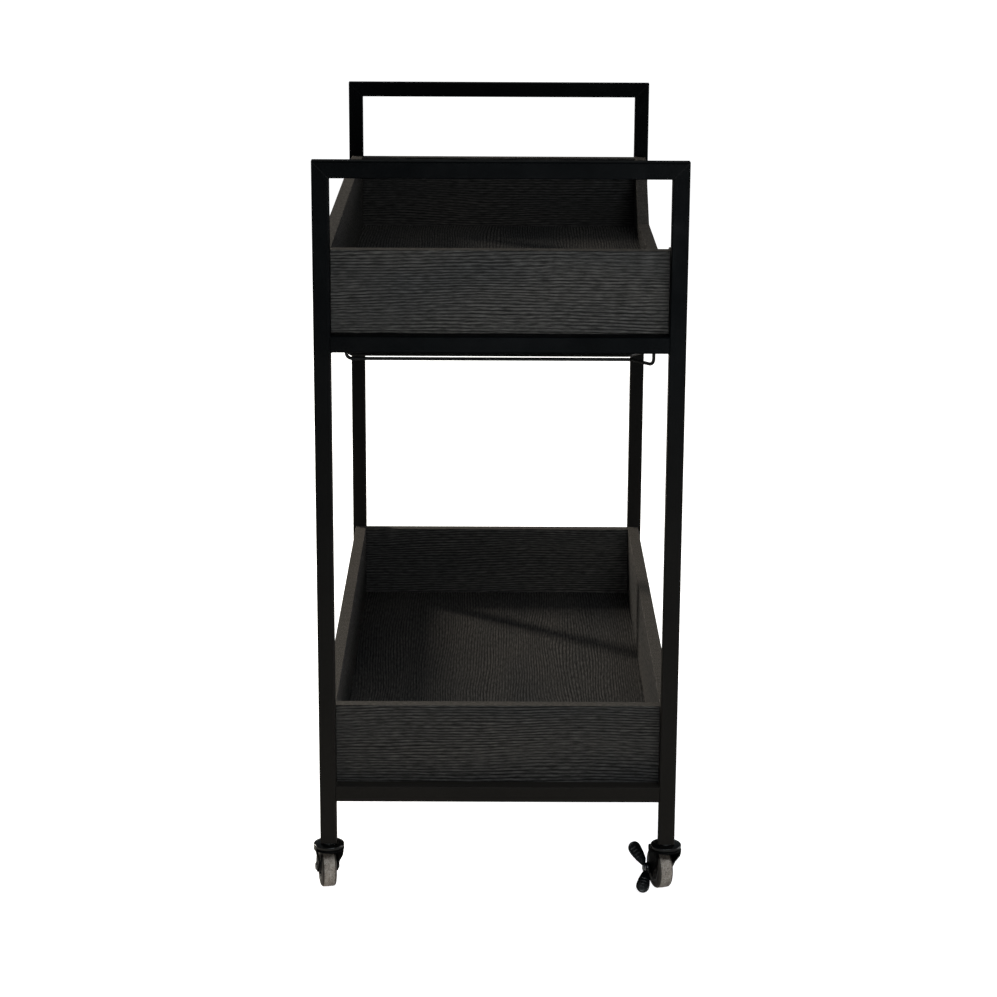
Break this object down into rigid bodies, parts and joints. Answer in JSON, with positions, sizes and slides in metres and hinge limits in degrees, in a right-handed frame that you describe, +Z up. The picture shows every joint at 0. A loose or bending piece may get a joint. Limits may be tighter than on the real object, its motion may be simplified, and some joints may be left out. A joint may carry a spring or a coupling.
{
  "type": "bar cart",
  "caption": "Rolling bar cart with square-tube end frames, deep wood-look tray shelves, a hanging stemware rack under the top tray, and swivel casters with foot brakes.",
  "frame": {"origin": "on the floor, under the middle of the cart", "axes": "+X along the cart from its left end frame to its right one, -Y is the open front with the cut-away wall, +Z up"},
  "size_m": [0.8178, 0.4341, 0.867],
  "materials": {
    "frame_paint": "satin black powder coat, slightly grained",
    "tray_laminate": "charcoal wood-grain laminate with brushed texture and paler edge banding",
    "rack_wire": "black painted wire and strip",
    "caster_black": "glossy black plated pressings",
    "plated_steel": "dark plated turned steel",
    "black_zinc": "black zinc screws",
    "hub_plastic": "dark moulded plastic",
    "tread_rubber": "grey-brown soft tread with a moulding line",
    "brake_plastic": "black moulded pedal",
    "dowel_wood": "plain beech dowels"
  },
  "bodies": {
    "root": {"left_front_leg": "frame_paint", "left_back_leg": "frame_paint", "left_handle_bar": "frame_paint", "left_upper_rail": "frame_paint", "left_lower_rail": "frame_paint", "right_front_leg": "frame_paint", "right_back_leg": "frame_paint", "right_handle_bar": "frame_paint", "right_upper_rail": "frame_paint", "right_lower_rail": "frame_paint", "upper_front_wall": "tray_laminate", "upper_back_wall": "tray_laminate", "upper_left_panel": "tray_laminate", "upper_right_panel": "tray_laminate", "upper_floor": "tray_laminate", "upper_tray_dowels": "dowel_wood", "upper_tray_tabs": "frame_paint", "lower_front_wall": "tray_laminate", "lower_back_wall": "tray_laminate", "lower_left_panel": "tray_laminate", "lower_right_panel": "tray_laminate", "lower_floor": "tray_laminate", "lower_tray_dowels": "dowel_wood", "lower_tray_tabs": "frame_paint", "tray_screws": "black_zinc", "rack_screws": "black_zinc", "rack_front_strip": "rack_wire", "rack_back_strip": "rack_wire", "rack_wires_1": "rack_wire", "rack_wires_2": "rack_wire", "rack_wires_3": "rack_wire", "rack_wires_4": "rack_wire", "left_front_stem": "plated_steel", "left_front_ball_cup": "caster_black", "left_back_stem": "plated_steel", "left_back_ball_cup": "caster_black", "right_front_stem": "plated_steel", "right_front_ball_cup": "caster_black", "right_back_stem": "plated_steel", "right_back_ball_cup": "caster_black", "leg_inserts": "plated_steel", "caster_balls": "plated_steel"},
    "left_front_swivel": {"left_front_fork": "caster_black", "left_front_axle": "plated_steel"},
    "left_front_wheel": {"left_front_hub": "hub_plastic", "left_front_tread": "tread_rubber"},
    "left_front_brake": {"left_front_brake_lever": "brake_plastic"},
    "left_back_swivel": {"left_back_fork": "caster_black", "left_back_axle": "plated_steel"},
    "left_back_wheel": {"left_back_hub": "hub_plastic", "left_back_tread": "tread_rubber"},
    "right_front_swivel": {"right_front_fork": "caster_black", "right_front_axle": "plated_steel"},
    "right_front_wheel": {"right_front_hub": "hub_plastic", "right_front_tread": "tread_rubber"},
    "right_front_brake": {"right_front_brake_lever": "brake_plastic"},
    "right_back_swivel": {"right_back_fork": "caster_black", "right_back_axle": "plated_steel"},
    "right_back_wheel": {"right_back_hub": "hub_plastic", "right_back_tread": "tread_rubber"}
  },
  "joints": [
    {"name": "left_front_swivel_turn", "type": "hinge", "parent": "root", "child": "left_front_swivel", "pos_m": [-0.3905, -0.1985, 0.055], "axis": [0, 0, 1], "continuous": true},
    {"name": "left_front_wheel_spin", "type": "hinge", "parent": "left_front_swivel", "child": "left_front_wheel", "pos_m": [-0.37224, -0.19326, 0.025], "axis": [-0.2756, 0.9613, 0], "continuous": true},
    {"name": "left_front_brake_press", "type": "hinge", "parent": "left_front_swivel", "child": "left_front_brake", "pos_m": [-0.37224, -0.19326, 0.025], "axis": [-0.2756, 0.9613, 0], "range_deg": [0, 28]},
    {"name": "left_back_swivel_turn", "type": "hinge", "parent": "root", "child": "left_back_swivel", "pos_m": [-0.3905, 0.1985, 0.055], "axis": [0, 0, 1], "continuous": true},
    {"name": "left_back_wheel_spin", "type": "hinge", "parent": "left_back_swivel", "child": "left_back_wheel", "pos_m": [-0.37185, 0.20212, 0.025], "axis": [-0.1908, 0.9816, 0], "continuous": true},
    {"name": "right_front_swivel_turn", "type": "hinge", "parent": "root", "child": "right_front_swivel", "pos_m": [0.3905, -0.1985, 0.055], "axis": [0, 0, 1], "continuous": true},
    {"name": "right_front_wheel_spin", "type": "hinge", "parent": "right_front_swivel", "child": "right_front_wheel", "pos_m": [0.3938, -0.17979, 0.025], "axis": [-0.9848, 0.1736, 0], "continuous": true},
    {"name": "right_front_brake_press", "type": "hinge", "parent": "right_front_swivel", "child": "right_front_brake", "pos_m": [0.3938, -0.17979, 0.025], "axis": [-0.9848, 0.1736, 0], "range_deg": [0, 28]},
    {"name": "right_back_swivel_turn", "type": "hinge", "parent": "root", "child": "right_back_swivel", "pos_m": [0.3905, 0.1985, 0.055], "axis": [0, 0, 1], "continuous": true},
    {"name": "right_back_wheel_spin", "type": "hinge", "parent": "right_back_swivel", "child": "right_back_wheel", "pos_m": [0.37265, 0.192, 0.025], "axis": [0.342, -0.9397, 0], "continuous": true}
  ]
}
